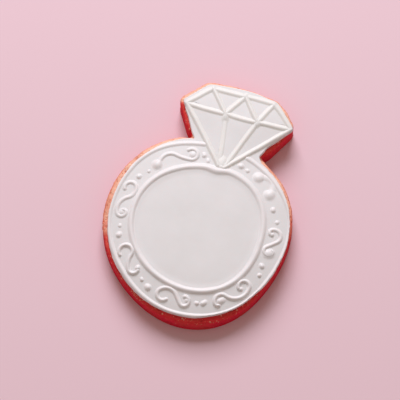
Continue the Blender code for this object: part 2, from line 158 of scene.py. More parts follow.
# The lean makes a line higher on the ring's far side. The border is slimmer there by a share, and the inner
# line is broader by its spread where the spread is greatest.
BORDER = {"half_width": 1.0, "slimming": 0.1, "height": 0.6, "lean": 0.16, "ends": (104.0, 434.0)}
INNER = {"half_width": 1.16, "height": 0.78, "lean": 0.1, "spread": 0.18, "spread_at": 60.0}
# The inner line's pinch: its angle, how far it draws the line in, its breadth, and how much the line swells
PINCH = {"angle": 90.5, "depth": 1.0, "spread": 8.0, "swell": 0.2}
EDGE_ROUNDING = 0.2         # icing piped over the coat's edge rounds down over this distance
EDGE_KEPT = 0.09            # and ends this far inside it
SLOPE_STEP = 0.4            # between the depths that tell which way the nearest edge lies

GEM_POINTS = {
    "left": (-22.6, 51.9), "right": (22.5, 53.8),
    "crown_left": (-13.8, 61.6), "crown_middle": (0.1, 62.2), "crown_right": (12.6, 62.7),
    "girdle_left": (-5.4, 51.9), "girdle_right": (8.4, 52.3),
    "culet_left": (-1.1, 28.9), "culet_right": (1.3, 28.6),
}
# first point, last point, half-width, height, bow of the middle
GEM_LINES = (
    ("left", "crown_left", 1.15, 0.5, 0.1),
    ("crown_left", "crown_middle", 1.15, 0.48, 0.0),
    ("crown_middle", "crown_right", 1.15, 0.45, 0.1),
    ("crown_right", "right", 1.1, 0.55, 0.35),
    ("left", "girdle_left", 1.1, 0.5, -0.45),
    ("girdle_left", "girdle_right", 1.1, 0.52, -0.35),
    ("girdle_right", "right", 1.1, 0.58, -0.05),
    ("crown_left", "girdle_left", 1.05, 0.66, 0.0),
    ("girdle_left", "crown_middle", 1.1, 0.5, 0.0),
    ("crown_middle", "girdle_right", 1.05, 0.66, -0.1),
    ("girdle_right", "crown_right", 1.1, 0.5, 0.0),
    ("left", "culet_left", 1.05, 0.68, 0.25),
    ("girdle_left", "culet_left", 1.0, 0.24, 0.3),
    ("girdle_right", "culet_right", 1.05, 0.55, 0.0),
    ("right", "culet_right", 1.05, 0.7, 0.0),
    ("culet_left", "culet_right", 1.2, 0.6, 0.0),
)
# blobs where lines were joined: x, y, radius, height, length and direction of a tail
GEM_BLOBS = (
    (-5.35, 51.5, 1.3, 0.66, 1.9, -74), (8.5, 51.9, 1.5, 0.66, 0.8, -110),
    (0.1, 62.0, 1.4, 0.62, 0.3, 90), (-13.7, 61.3, 1.3, 0.55, 0.2, -60), (12.6, 62.2, 1.4, 0.5, 0.3, -90),
)

# the flat fill where the lines meet at the bottom, in the same terms
GEM_FILL = (-0.1, 29.8, 2.1, 0.5, 1.8, 108)
GEM_SWAY, GEM_SWAY_SIZE = 0.12, 6.0         # how far a hand-drawn line sways, and over what length
GEM_LINE_STEPS = 4          # at least this many steps a line

STROKE_SPACING = 0.2
BEND_POINTS = 40
STROKE_POINTS = 400
# A stroke leaves its start with a heading and follows bends of (radius, turn). Its ends are blobs of their
# own radius. Fills are blobs that close a curl: x, y, radius, height, length and direction of a tail.
Scroll = namedtuple("Scroll", "start heading bends ends half_width height blob_height fills")
SCROLLS = {
    "scroll_upper_right": Scroll(
        (14.67, 27.9), 44, ((8.38, -32.6), (3.84, -87), (5.7, -63.8)), (2.0, 2.2), 1.35, 0.3, 0.8, (),
    ),
    "scroll_right": Scroll(
        (29.05, 6.84), 178.9, ((1.22, -143.5), (2.81, -171.2), (159, -1.7), (1.97, 204.4), (0.9, 150.0)),
        (0.8, 0.8), 0.84, 0.62, 0.6, ((30.55, -0.8, 2.05, 0.72, 0.9, 206), (29.0, 7.05, 0.95, 0.78, 0.0, 0)),
    ),
    "scroll_lower_right": Scroll(
        (23.74, -19.32), 148.8, ((2.29, -172.7), (2.16, -65.3), (6.33, -106.9), (2.86, 137.8), (1.25, 130)),
        (0.8, 0.8), 0.84, 0.85, 0.8, ((17.5, -26.3, 1.3, 0.85, 1.5, 48), (24.0, -18.8, 0.9, 0.75, 0.3, 200)),
    ),
    "scroll_bottom": Scroll(
        (-2.9, -31.48), -110.7, ((2.41, -204.7), (4.58, -93.6), (320, 0.7), (1.95, 261.7)), (0.85, 0.9),
        0.84, 0.74, 0.75, ((5.1, -30.1, 1.3, 0.75, 0.2, 90),),
    ),
    "scroll_lower_left": Scroll(
        (-26.57, -20.67), 153.5, ((2.76, -258.7), (8.27, 43.4), (2.11, 169.9)), (0.7, 1.0), 0.84, 0.88, 0.85,
        ((-18.4, -23.5, 1.05, 0.85, 0.2, 90),),
    ),
    "scroll_left": Scroll(
        (-34.16, 6.79), 136, ((2.42, -206.8), (4.28, -79.1), (5.71, 88.5), (1.91, 142), (1.15, 160.8)),
        (0.8, 0.8), 0.88, 0.55, 0.6, ((-32.3, -2.6, 1.6, 0.5, 0.0, 0), (-31.8, -1.6, 0.9, 0.6, 0.0, 0)),
    ),
    "scroll_upper_left": Scroll(
        (-25.53, 19.43), 81.7, ((57.7, -5.3), (4.58, -88.5), (17.44, 21.1), (2.4, 240)), (2.05, 0.8),
        0.9, 0.58, 0.88, ((-12.5, 30.4, 1.7, 0.55, 0.0, 0),),
    ),
}

# ---- Pearls: x, y, radius, height, tail length, tail direction ----
Pearl = namedtuple("Pearl", "x y radius height tail direction")
PEARLS = {
    "pearl_gem_right_large": Pearl(8.0, 31.65, 1.2, 0.58, 0.3, 200),
    "pearl_gem_right_small": Pearl(11.1, 30.5, 0.9, 0.4, 0.2, 150),
    "pearl_upper_right_large": Pearl(26.3, 17.35, 1.1, 0.65, 0.2, 100),
    "pearl_upper_right_small": Pearl(29.4, 12.8, 0.9, 0.44, 0.15, 60),
    "pearl_lower_right_large": Pearl(29.2, -6.95, 1.1, 0.74, 0.25, 130),
    "pearl_lower_right_small": Pearl(29.35, -10.9, 0.9, 0.69, 0.1, 80),
    "pearl_bottom_right_large": Pearl(11.35, -29.3, 1.1, 0.75, 0.9, 50),
    "pearl_bottom_right_small": Pearl(9.05, -29.95, 0.9, 0.66, 0.2, 180),
    "pearl_bottom_left_large": Pearl(-11.8, -29.85, 1.3, 0.9, 0.3, 150),
    "pearl_bottom_left_small": Pearl(-15.2, -27.5, 0.8, 0.58, 0.3, 120),
    "pearl_lower_left_large": Pearl(-30.35, -12.4, 1.2, 0.76, 0.3, 70),
    "pearl_lower_left_small": Pearl(-31.2, -8.5, 0.8, 0.38, 0.2, 100),
    "pearl_upper_left_large": Pearl(-30.8, 14.15, 1.1, 0.63, 0.2, 60),
    "pearl_upper_left_small": Pearl(-27.6, 17.55, 0.75, 0.38, 0.15, 80),
    "pearl_gem_left_large": Pearl(-8.05, 31.4, 1.05, 0.5, 0.4, 120),
    "pearl_gem_left_small": Pearl(-5.75, 29.4, 0.85, 0.34, 0.5, 110),
}
PEARL_ROUND = 40
PEARL_ROWS = 18
PEARL_UNEVEN_SIZE = 0.8     # on a circle of radius one

# ---- The dough's side and its crumbs ----
SIDE_INSET = 0.03           # keeps the fine outline inside the frame's one
SIDE_SHARE = 0.6            # up to this share of the way from the base to the coat, the side is upright
RIM_SHARE = 0.82            # and up to this share, it is the rounded rim
SHELF_WIDTH = 3.0           # of the crumbly top between the rim and the icing, and a little under it
DOUGH_RECESS = 0.3          # under the coat
SIDE_ROUGHNESS = 0.2        # mean depth of the side's unevenness
# its noise: size, octaves, how much each adds to the one before, and the whole's reach to either side
ROUGH_SIZE, ROUGH_OCTAVES, ROUGH_GAIN, ROUGH_SPAN = 2.6, 4, 0.6, 1.8
# pits in the side: seed, depth, spacing, and radius as a share of the spacing
PITS = (("broad_pits", 0.3, 1.7, 0.42), ("small_pits", 0.2, 0.85, 0.5))
PAINTED_SHADE_HEADING = 289.0           # painted shade: the heading that the side painted darker and redder faces, away from the light
PAINTED_SHADE_FROM, PAINTED_SHADE_TO = -0.1, 0.3              # cosine of the turn from it where the painted shade starts and ends
PAINTED_SHADE_NOISE, PAINTED_SHADE_NOISE_SIZE = 0.1, 5.0
CRUMB_COUNT = 900
CRUMBS_ON_RIM = 0.9
CRUMBS_UPWARDS = 0.6        # below one, more of the others lie high on the side
CRUMB_SIZES = (0.1, 0.42)
CRUMB_FINENESS = 2.2        # above one, more of them are small
CRUMB_SINK = 0.35           # of its size
CRUMB_STRETCH = (0.8, 0.6)  # least stretch along an axis, and how much more it can be
CRUMB_CORNERS = (0.72, 0.5)                 # the same for how far out a corner lies
CRUMB_PAINTED_SHADE = 0.6        # share of the side's painted shade that a crumb carries
# patches with more crumbs on the rim: x, y, radius, how many more
CRUMB_PATCHES = (
    (-15.5, -36.0, 4.5, 130), (-40.5, -8.0, 5.0, 120), (-36.0, 22.0, 9.0, 90), (20.0, 60.3, 3.0, 14),
)
# loose flakes: x, y, z, half length, half width, half height
FLAKES = ((20.6, -29.1, 9.3, 1.5, 0.45, 0.3),)
FLAKE_HEADING = 20.0
BALL_EDGE = 1.1             # corners of a crumb's solid nearer than this are next to each other


# ---- Random fields, all over whole arrays ----
CELL_PRIMES = (73856093, 19349663, 83492791)
SEED_PRIME, SEED_START = 2654435761, 12345
MIX_ROUNDS = ((13, 1274126177), (15, 2246822519))
LAST_SHIFT = 11
BITS = 0x7FFFFFFF


def hashed(cells, seed):
    """A number from 0 to 1 for each whole-numbered cell, the same each time: its coordinates and the seed
    times large primes, with their bits mixed by shifts and by further primes."""
    x, y, z = [cells[..., axis].astype(np.int64) * prime for axis, prime in enumerate(CELL_PRIMES)]
    mixed = x ^ y ^ z ^ (seed * SEED_PRIME + SEED_START)
    for shift, prime in MIX_ROUNDS:
        mixed = (mixed ^ (mixed >> shift)) * prime & BITS
    return (mixed ^ (mixed >> LAST_SHIFT)) / float(BITS)


def noise(points, size, seed):
    """Smooth noise from -1 to 1: random values at the corners of cubes of the given size, with the ease
    3 t^2 - 2 t^3 between them."""
    scaled = points / size
    cell = np.floor(scaled)
    part = scaled - cell
    ease = part * part * (3 - 2 * part)
    total = np.zeros(points.shape[:-1])
    for corner in np.ndindex(2, 2, 2):
        weight = np.prod(np.where(np.array(corner) == 1, ease, 1 - ease), axis=-1)
        total += weight * hashed(cell + np.array(corner), seed)
    return 2 * total - 1


OCTAVE_SEEDS = 17           # from each size of noise to the next finer one


def rough(points, size, seed, octaves=3, gain=0.5):
    """Noise with finer noise of half the size and less height on top of it, a few times over."""
    total = 0.0
    for k in range(octaves):
        total = total + gain**k * noise(points, size / 2**k, seed + OCTAVE_SEEDS * k)
    return total


def pits(points, size, seed):
    """Distance to the nearest of points scattered one in each cube of the given size, as a share of it."""
    scaled = points / size
    cell = np.floor(scaled)
    nearest = np.full(points.shape[:-1], np.inf)
    for step in np.ndindex(3, 3, 3):
        there = cell + np.array(step) - 1
        spot = there + np.stack([hashed(there, seed + k) for k in (1, 2, 3)], axis=-1)
        nearest = np.minimum(nearest, np.linalg.norm(scaled - spot, axis=-1))
    return nearest


def flat_points(xy, z=0.0):
    """Points in space above plan points."""
    return np.concatenate([xy, np.full((*xy.shape[:-1], 1), z)], axis=-1)


# ---- Meshes ----
def grid_faces(rows, columns, wrap_rows, wrap_columns):
    """The quads of a grid of points, counted row by row, and closed round where it wraps."""
    r = np.arange(rows if wrap_rows else rows - 1)[:, None]
    c = np.arange(columns if wrap_columns else columns - 1)[None, :]
    r_next, c_next = (r + 1) % rows, (c + 1) % columns
    quads = [r * columns + c, r * columns + c_next, r_next * columns + c_next, r_next * columns + c]
    return np.stack(quads, axis=-1).reshape(-1, 4)


def make_piece(name, points, faces, finish, slot, replaced=(), marks=()):
    """A mesh piece of millimetre points, with its doubled points merged, on the cookie's one body.

    Each mark is (name, value at each point), which the finish reads as an attribute."""
    mesh = bpy.data.meshes.new(name)
    mesh.from_pydata((np.asarray(points).reshape(-1, 3) * MM).tolist(), [], faces.tolist())
    for mark, values in marks:
        attribute = mesh.attributes.new(mark, "FLOAT", "POINT")
        attribute.data.foreach_set("value", values.ravel().astype(np.float32))
    shape = bmesh.new()
    shape.from_mesh(mesh)
    bmesh.ops.remove_doubles(shape, verts=shape.verts, dist=SAME_POINT * MM)
    shape.to_mesh(mesh)
    shape.free()
    mesh.shade_smooth()
    mesh.materials.append(finish)
    piece = bpy.data.objects.new(name, mesh)
    bpy.context.scene.collection.objects.link(piece)
    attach(piece, "root")
    if replaced:
        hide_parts(*replaced)
    return piece


# ---- Outlines ----
def ring_radius(curve, angles):
    """Distance of a ring curve from its centre: its mean radius plus a cosine for each of its lobes."""
    radius = np.full(angles.shape, curve.radius)
    for count, height, direction in curve.lobes:
        radius += height * np.cos(np.radians(count * (angles - direction)))
    return radius


def ring_points(curve, angles):
    """Points of a ring curve at angles round its centre, each the curve's radius away from it."""
    turn = np.radians(angles)
    along = np.stack([np.cos(turn), np.sin(turn)], axis=1)
    return np.array(curve.centre) + ring_radius(curve, angles)[:, None] * along


def round_corner(before, corner, after, radius):
    """A quadratic curve that touches both sides of a corner where an arc of that radius would."""
    side_before, side_after = np.linalg.norm(before - corner), np.linalg.norm(after - corner)
    to_before, to_after = (before - corner) / side_before, (after - corner) / side_after
    half_angle = 0.5 * np.arccos(np.clip(to_before @ to_after, -1.0, 1.0))
    reach = min(radius / np.tan(half_angle), CORNER_SHARE * side_before, CORNER_SHARE * side_after)
    start, end = corner + reach * to_before, corner + reach * to_after
    t = np.linspace(0.0, 1.0, CORNER_POINTS)[:, None]
    return (1 - t) ** 2 * start + 2 * t * (1 - t) * corner + t**2 * end


def cookie_outline(ring, gem_corners, notches):
    """A closed outline in two halves of even columns: up the right side, then down the left side."""
    right_notch, left_notch = notches
    ring_part = ring_points(ring, np.arange(left_notch, right_notch + 360.0, CURVE_STEP))
    corners = np.array([corner[:2] for corner in gem_corners])
    chain = np.vstack([ring_part[-1:], corners, ring_part[:1]])
    gem_part = [
        round_corner(chain[i], chain[i + 1], chain[i + 2], corner[2]) for i, corner in enumerate(gem_corners)
    ]
    loop = np.vstack([ring_part, *gem_part])
    loop = np.roll(loop, -int(np.argmin(loop[:, 1])), axis=0)
    top = int(np.argmin(np.where(loop[:, 1] > GEM_ABOVE, np.abs(loop[:, 0]), np.inf)))
    right = even_steps(loop[: top + 1], HALF_COLUMNS)
    left = even_steps(np.vstack([loop[top:], loop[:1]]), HALF_COLUMNS)
    return np.vstack([right[:-1], left[:-1]])


def even_steps(line, count):
    """An open line cut into count even steps."""
    along = np.concatenate([[0.0], np.cumsum(np.linalg.norm(np.diff(line, axis=0), axis=1))])
    stops = np.linspace(0.0, along[-1], count + 1)
    return np.stack([np.interp(stops, along, line[:, axis]) for axis in (0, 1)], axis=1)


def outward_normals(outline):
    """Unit normals of a closed anticlockwise outline: the line from two columns back to two columns ahead,
    turned a quarter turn to the right."""
    along = np.roll(outline, -2, axis=0) - np.roll(outline, 2, axis=0)
    along /= np.linalg.norm(along, axis=1, keepdims=True)
    return np.stack([along[:, 1], -along[:, 0]], axis=1)


def spine_points(outline):
    """For each column, a point on the slab's middle line, the same for the two columns at equal height."""
    mirrored = np.roll(outline[::-1], 1, axis=0)
    height = 0.5 * (outline[:, 1] + mirrored[:, 1])
    steps = np.array(SPINE_STEPS)
    return np.stack([np.full(len(outline), SPINE_X), np.interp(height, steps[:, 0], steps[:, 1])], axis=1)


# ---- The coat's surface ----
class Lattice:
    """Values at evenly spaced plan points round the cookie, read between them in straight lines."""

    PITCH = 0.5
    MARGIN = 4.0

    def __init__(self, outline):
        """Spots a pitch apart in rows and columns, from the outline's lowest corner less the margin to its
        highest corner and the margin, with a value of nought at each."""
        self.low = outline.min(0) - self.MARGIN
        size = np.ceil((outline.max(0) + self.MARGIN - self.low) / self.PITCH).astype(int) + 1
        axes = [low + self.PITCH * np.arange(count) for low, count in zip(self.low, size)]
        self.spots = np.stack(np.meshgrid(*axes, indexing="ij"), axis=-1)
        self.values = np.zeros(size)

    def __call__(self, xy):
        """Values at plan points: an even blend along x and then along y of the four spots round each."""
        scaled = (xy - self.low) / self.PITCH
        cell = np.clip(np.floor(scaled).astype(int), 0, np.array(self.values.shape) - 2)
        part = np.clip(scaled - cell, 0.0, 1.0)
        i, j = cell[..., 0], cell[..., 1]
        u, v = part[..., 0], part[..., 1]
        near = (1 - u) * self.values[i, j] + u * self.values[i + 1, j]
        far = (1 - u) * self.values[i, j + 1] + u * self.values[i + 1, j + 1]
        return (1 - v) * near + v * far


def depth_inside(outline):
    """A lattice of the distance to an outline, positive inside it."""
    lattice = Lattice(outline)
    edge = outline[::2]
    for i, row in enumerate(lattice.spots):
        lattice.values[i] = np.linalg.norm(row[:, None, :] - edge[None, :, :], axis=-1).min(1)
    lattice.values[~inside_outline(lattice.spots, edge)] *= -1
    return lattice


def fall_share(outline, depth):
    """A lattice of the share of its whole fall that the top has fallen: one less the depth as a share of the
    reach, to a power, evened out, and more on the far side of the ring than on the gem's side."""
    lattice = Lattice(outline)
    share = np.clip(1 - depth.values / FALL_REACH, 0.0, FALL_MOST) ** FALL_POWER
    for _ in range(FALL_EVEN_OUT):
        share = blurred(share)
    lean = 1 - FALL_LEAN * np.clip(lattice.spots[..., 1] / FALL_REACH, -1.0, FALL_LEAN_STOP)
    lattice.values = share * lean
    return lattice


def blurred(values):
    """Each lattice value averaged with its neighbours, weights 1, 2, 1 along both axes."""
    padded = np.pad(values, 1, mode="edge")
    across = 0.25 * padded[:-2] + 0.5 * padded[1:-1] + 0.25 * padded[2:]
    return 0.25 * across[:, :-2] + 0.5 * across[:, 1:-1] + 0.25 * across[:, 2:]


def inside_outline(spots, outline):
    """Whether plan points lie inside a closed outline, by counting the edges that a ray to +X crosses."""
    inside = np.zeros(spots.shape[:-1], dtype=bool)
    x, y = spots[..., 0], spots[..., 1]
    for a, b in zip(outline, np.roll(outline, -1, axis=0)):
        if a[1] == b[1]:
            continue
        crosses = (a[1] > y) != (b[1] > y)
        inside ^= crosses & (x < a[0] + (y - a[1]) * (b[0] - a[0]) / (b[1] - a[1]))
    return inside


def edge_wander(outline):
    """How far the coat's edge strays outwards from its outline: slow noise with finer noise on it."""
    return EDGE_WANDER * rough(flat_points(outline), EDGE_WANDER_SIZE, SEEDS["coat_edge"], 3, ROUGH_GAIN)


biscuit_outline = cookie_outline(BISCUIT_RING, BISCUIT_GEM, BISCUIT_NOTCHES)
biscuit_outline = biscuit_outline - SIDE_INSET * outward_normals(biscuit_outline)
icing_outline = cookie_outline(ICING_RING, ICING_GEM, ICING_NOTCHES)
icing_edge = icing_outline + edge_wander(icing_outline)[:, None] * outward_normals(icing_outline)
edge_depth = depth_inside(icing_edge)
fall = fall_share(icing_edge, edge_depth)


def dough_top(xy):
    """Height of the dough's top: flat in the middle, falling towards the rim, and slightly uneven."""
    waves = DOUGH_WAVE * (noise(flat_points(xy), DOUGH_WAVE_SIZE, SEEDS["dough_waves"]) - 1)
    return DOUGH_TOP - DOUGH_FALL * fall(xy) + waves


def pinch_share(angles):
    """How much the inner line is pinched at angles round its centre: a bell round the pinch."""
    return np.exp(-(((angles - PINCH["angle"]) / PINCH["spread"]) ** 2))


def creep(xy):
    """How far the flood creeps up towards the inner line: a parabola in the distance from the line on each
    side, less high outside it."""
    offset = xy - np.array(INNER_RING.centre)
    angles = np.degrees(np.arctan2(offset[..., 1], offset[..., 0]))
    line = ring_radius(INNER_RING, angles) - PINCH["depth"] * pinch_share(angles)
    gap = np.linalg.norm(offset, axis=-1) - line
    rise = np.clip((CREEP_FAR - np.abs(gap)) / (CREEP_FAR - CREEP_NEAR), 0.0, 1.0) ** 2
    return CREEP_HEIGHT * rise * (CREEP_SHARE - CREEP_LEAN * np.clip(gap / CREEP_NEAR, -1.0, 1.0))


def coat_top(xy):
    """Height of the coat's surface: a low dome, with slow waves and a creep to the inner line."""
    waves = COAT_WAVE * (noise(flat_points(xy), COAT_WAVE_SIZE, SEEDS["coat_waves"]) - 1)
    return COAT_CROWN - COAT_FALL * fall(xy) + waves + creep(xy)


# ---- Slabs ----
def slab_rows(outline, insets, heights, low, high):
    """Grid rows of a slab: loops inset from the outline, after and before rows that run in to its spine.

    insets and heights are (rows, columns). low and high are the underside and the top, each as (rows, height
    function): a row lies a share of the way from the first or last loop to the spine, and on that surface."""
    normals = outward_normals(outline)
    loops = outline[None] - insets[..., None] * normals[None]
    edge = np.concatenate([loops, heights[..., None]], axis=-1)
    spine = spine_points(outline)
    inner = []
    for loop, (count, height_of) in ((loops[0], low), (loops[-1], high)):
        shares = np.linspace(0, 1, count + 1)[1:, None, None]
        rows = loop[None] + shares * (spine - loop)[None]
        inner.append(np.concatenate([rows, height_of(rows)[..., None]], axis=-1))
    return np.concatenate([inner[0][::-1], edge, inner[1]], axis=0)


def crumb_depth(points):
    """How far the baked side lies in from its smooth form: rough noise, with broad and small pits like
    cones."""
    uneven = rough(points, ROUGH_SIZE, SEEDS["side"], ROUGH_OCTAVES, ROUGH_GAIN)
    depth = SIDE_ROUGHNESS * (1 + uneven / ROUGH_SPAN)
    for seed, deepest, spacing, radius in PITS:
        depth += deepest * np.clip(1 - pits(points, spacing, SEEDS[seed]) / radius, 0, 1)
    return depth


def side_point(column, share):
    """Points and outward directions on the smooth side, at a share of the way from the base over the rim: a
    straight rise, then a quarter circle, then a shelf on the dough's top that runs in under the icing."""
    outline, normals = biscuit_outline[column], outward_normals(biscuit_outline)[column]
    rim_height = dough_top(outline - RIM_RADIUS * normals)
    turn = np.radians(90) * np.clip((share - SIDE_SHARE) / (RIM_SHARE - SIDE_SHARE), 0, 1)
    side_rise = rim_height - RIM_RADIUS - BASE_EDGE_RADIUS
    upright = BASE_EDGE_RADIUS + np.clip(share / SIDE_SHARE, 0, 1) * side_rise
    shelf = SHELF_WIDTH * np.clip((share - RIM_SHARE) / (1 - RIM_SHARE), 0, 1)
    xy = outline - (RIM_RADIUS * (1 - np.cos(turn)) + shelf)[..., None] * normals
    z = np.where(share > RIM_SHARE, dough_top(xy), upright + RIM_RADIUS * np.sin(turn))
    out = np.concatenate([np.cos(turn)[..., None] * normals, np.sin(turn)[..., None]], axis=-1)
    return np.concatenate([xy, z[..., None]], axis=-1), out


def painted_shade():
    """How much painted shade each column of the side gets, darker on the side away from the light: nothing on
    the sides that face away from the shaded heading, all of it on those that face it, with an ease and some
    noise between them."""
    away = np.array([np.cos(np.radians(PAINTED_SHADE_HEADING)), np.sin(np.radians(PAINTED_SHADE_HEADING))])
    uneven = rough(flat_points(biscuit_outline), PAINTED_SHADE_NOISE_SIZE, SEEDS["painted_shade"])
    facing = outward_normals(biscuit_outline) @ away + PAINTED_SHADE_NOISE * uneven
    share = np.clip((facing - PAINTED_SHADE_FROM) / (PAINTED_SHADE_TO - PAINTED_SHADE_FROM), 0.0, 1.0)
    return share * share * (3 - 2 * share)


# painted shade for each column of the side, deepest on the side away from the light
side_painted_shade = painted_shade()


def make_biscuit(finish):
    """Flat base, a small rounded bottom edge, a crumbly upright side, and a rim that rounds over to the top.
    The side lies in from its smooth form by its crumb depth, and the base and the top run in to the spine."""
    columns = len(biscuit_outline)
    turn = np.radians(np.linspace(0, 90, BASE_EDGE_ROWS))[:-1, None]
    low_inset = np.broadcast_to(BASE_EDGE_RADIUS * (1 - np.sin(turn)), (len(turn), columns))
    low_height = np.broadcast_to(BASE + BASE_EDGE_RADIUS * (1 - np.cos(turn)), (len(turn), columns))
    flat_base = (BASE_ROWS, lambda xy: np.full(xy.shape[:-1], BASE))
    base = slab_rows(biscuit_outline, low_inset, low_height, flat_base, (1, dough_top))[:-1]
    share = np.concatenate([
        np.linspace(0, SIDE_SHARE, SIDE_ROWS)[:-1],
        np.linspace(SIDE_SHARE, RIM_SHARE, RIM_ROWS)[:-1],
        np.linspace(RIM_SHARE, 1, SHELF_ROWS),
    ])
    grid_share, grid_column = np.meshgrid(share, np.arange(columns), indexing="ij")
    side, out = side_point(grid_column, grid_share)
    # The bottom edge stays smooth.
    depth = crumb_depth(side) * np.clip(side[..., 2] / BASE_EDGE_RADIUS - 1, 0.0, 1.0)
    side = side - depth[..., None] * out
    last = side[-1, :, :2]
    inwards = np.linspace(0, 1, UNDER_ICING_ROWS + 1)[1:, None, None]
    inner = last[None] + inwards * (spine_points(biscuit_outline) - last)[None]
    inner = np.concatenate([inner, dough_top(inner)[..., None] - DOUGH_RECESS], axis=-1)
    points = np.concatenate([base, side, inner], axis=0)
    depths = np.concatenate([np.zeros(base.shape[:2]), depth, np.full(inner.shape[:2], DOUGH_RECESS)], axis=0)
    # marks: the depth of the pits, and the painted shade of the side away from the light
    marks = (("depth", depths), ("painted_shade", np.broadcast_to(side_painted_shade, depths.shape)))
    faces = grid_faces(len(points), columns, False, True)
    return make_piece("cookie_dough", points, faces, finish, "baked_dough", ["biscuit"], marks)


def crumb_ball():
    """Corners and outward sides of a regular solid of twenty triangles and radius one. Its corners are the
    point (0, 1, golden ratio) with both signs, rolled along the axes and brought to a length of one. Any
    three that are next to each other make a side."""
    golden = 0.5 * (1 + np.sqrt(5))
    corners = np.array([(0, a, b) for a in (-1, 1) for b in (-golden, golden)])
    corners = np.vstack([np.roll(corners, k, axis=1) for k in range(3)]) / np.linalg.norm([1, golden])
    near = np.linalg.norm(corners[:, None] - corners[None], axis=-1) < BALL_EDGE
    sides = [
        (i, j, k) for i in range(len(corners)) for j in range(i) for k in range(j)
        if near[i, j] and near[j, k] and near[i, k]
    ]
    outwards = [(i, j, k) if np.linalg.det(corners[[i, j, k]]) > 0 else (i, k, j) for i, j, k in sides]
    return corners, np.array(outwards)


def crumb_places(random):
    """A column and a share of the way up the side for each crumb: most on the rim, and more in patches."""
    column = random.integers(0, len(biscuit_outline), CRUMB_COUNT)
    share = SIDE_SHARE * random.random(CRUMB_COUNT) ** CRUMBS_UPWARDS
    on_rim = random.random(CRUMB_COUNT) < CRUMBS_ON_RIM
    share = np.where(on_rim, SIDE_SHARE + (1 - SIDE_SHARE) * random.random(CRUMB_COUNT), share)
    for x, y, spread, more in CRUMB_PATCHES:
        gap = np.linalg.norm(biscuit_outline - np.array([x, y]), axis=1)
        column = np.concatenate([column, random.choice(np.flatnonzero(gap < spread), more)])
        share = np.concatenate([share, SIDE_SHARE + (1 - SIDE_SHARE) * random.random(more)])
    return column, share


def make_crumbs(finish):
    """Small irregular crumbs sunk in the side and the rim, and loose flakes. Each is a solid of twenty sides
    with its corners moved in and out, stretched along each axis and turned about the upright."""
    random = np.random.default_rng(SEEDS["crumbs"])
    column, share = crumb_places(random)
    crumbs = len(column)
    small, large = CRUMB_SIZES
    size = small + (large - small) * random.random(crumbs) ** CRUMB_FINENESS
    spot, out = side_point(column, share)
    sink = crumb_depth(spot) + CRUMB_SINK * size
    least, more = CRUMB_STRETCH
    stretch = np.stack([size * (least + more * random.random(crumbs)) for _ in range(3)], axis=1)
    flakes = np.array(FLAKES)
    spot = np.vstack([spot, flakes[:, :3]])
    stretch = np.vstack([stretch, flakes[:, 3:]])
    corners, sides = crumb_ball()
    total = len(spot)
    least, more = CRUMB_CORNERS
    shape = corners[None] * (least + more * random.random((total, len(corners), 1))) * stretch[:, None]
    turn = random.random(total) * np.pi
    turn[crumbs:] = np.radians(FLAKE_HEADING)
    cos, sin = np.cos(turn)[:, None], np.sin(turn)[:, None]
    x, y, z = np.moveaxis(shape, -1, 0)
    shape = np.stack([cos * x - sin * y, sin * x + cos * y, z], axis=-1)
    # A crumb never stands out past the smooth side.
    reach = (shape[:crumbs] * out[:, None]).sum(-1).max(1)
    spot[:crumbs] -= np.maximum(sink, reach)[:, None] * out
    points = (spot[:, None] + shape).reshape(-1, 3)
    points[:, 2] = np.maximum(points[:, 2], BASE)
    faces = (sides[None] + len(corners) * np.arange(total)[:, None, None]).reshape(-1, 3)
    # each crumb carries a share of the side's painted shade
    painted_shade_share = np.zeros(total)
    painted_shade_share[:crumbs] = CRUMB_PAINTED_SHADE * side_painted_shade[column]
    marks = (("painted_shade", np.repeat(painted_shade_share, len(corners))),)
    return make_piece("dough_crumbs", points, faces, finish, "baked_dough", marks=marks)


def make_coat(finish):
    """The flooded coat: its underside in the dough, a rounded edge that wanders a little, and its surface.
    The edge's height over the underside rises with the sine of the turn."""
    columns = len(icing_outline)
    wander = edge_wander(icing_outline)
    turn = np.radians(np.linspace(COAT_EDGE_FROM, 90, COAT_EDGE_ROWS))
    out = wander[None] - COAT_EDGE_RADIUS * (1 - np.cos(turn))[:, None]
    shelf = np.linspace(0, COAT_SHELF_WIDTH, COAT_SHELF_ROWS + 1)[1:]
    insets = np.concatenate([-out, COAT_EDGE_RADIUS - wander[None] + shelf[:, None]])
    loops = icing_outline[None] - insets[..., None] * outward_normals(icing_outline)[None]
    heights = coat_top(loops)
    under = dough_top(loops[:COAT_EDGE_ROWS]) - COAT_SINK
    lowest = np.sin(turn[0])
    rise = (np.sin(turn) - lowest) / (1 - lowest)
    heights[:COAT_EDGE_ROWS] = under + rise[:, None] * (heights[COAT_EDGE_ROWS] - under)
    underside = (COAT_BASE_ROWS, lambda xy: dough_top(xy) - COAT_SINK)
    rows = slab_rows(icing_outline, insets, heights, underside, (COAT_TOP_ROWS, coat_top))
    faces = grid_faces(len(rows), columns, False, True)
    return make_piece("flooded_coat", rows, faces, finish, "flood_icing", ["icing_coat"])


# ---- Piped beads ----
def eased_above(arch):
    """A height that is kept above nought, with a soft bend there: half the sum of itself and the root of its
    square plus the softness squared."""
    return 0.5 * (arch + np.sqrt(arch**2 + FOOT_SOFTNESS**2))


def bead_height(share, roundness=BEAD_ROUNDNESS):
    """Height of a bead over its foot, as a share of its crest's, at a share of its half-width from the
    middle: one less a power of the share, eased into the flat coat."""
    foot = eased_above(1 - SKIRT**roundness)
    return (eased_above(1 - np.abs(share) ** roundness) - foot) / (eased_above(1.0) - foot)


def soft_max(a, b):
    """The greater of two lengths, with a short ease where they are near each other: a high root of the sum of
    their high powers."""
    return (a**EASE_POWER + b**EASE_POWER) ** (1 / EASE_POWER)


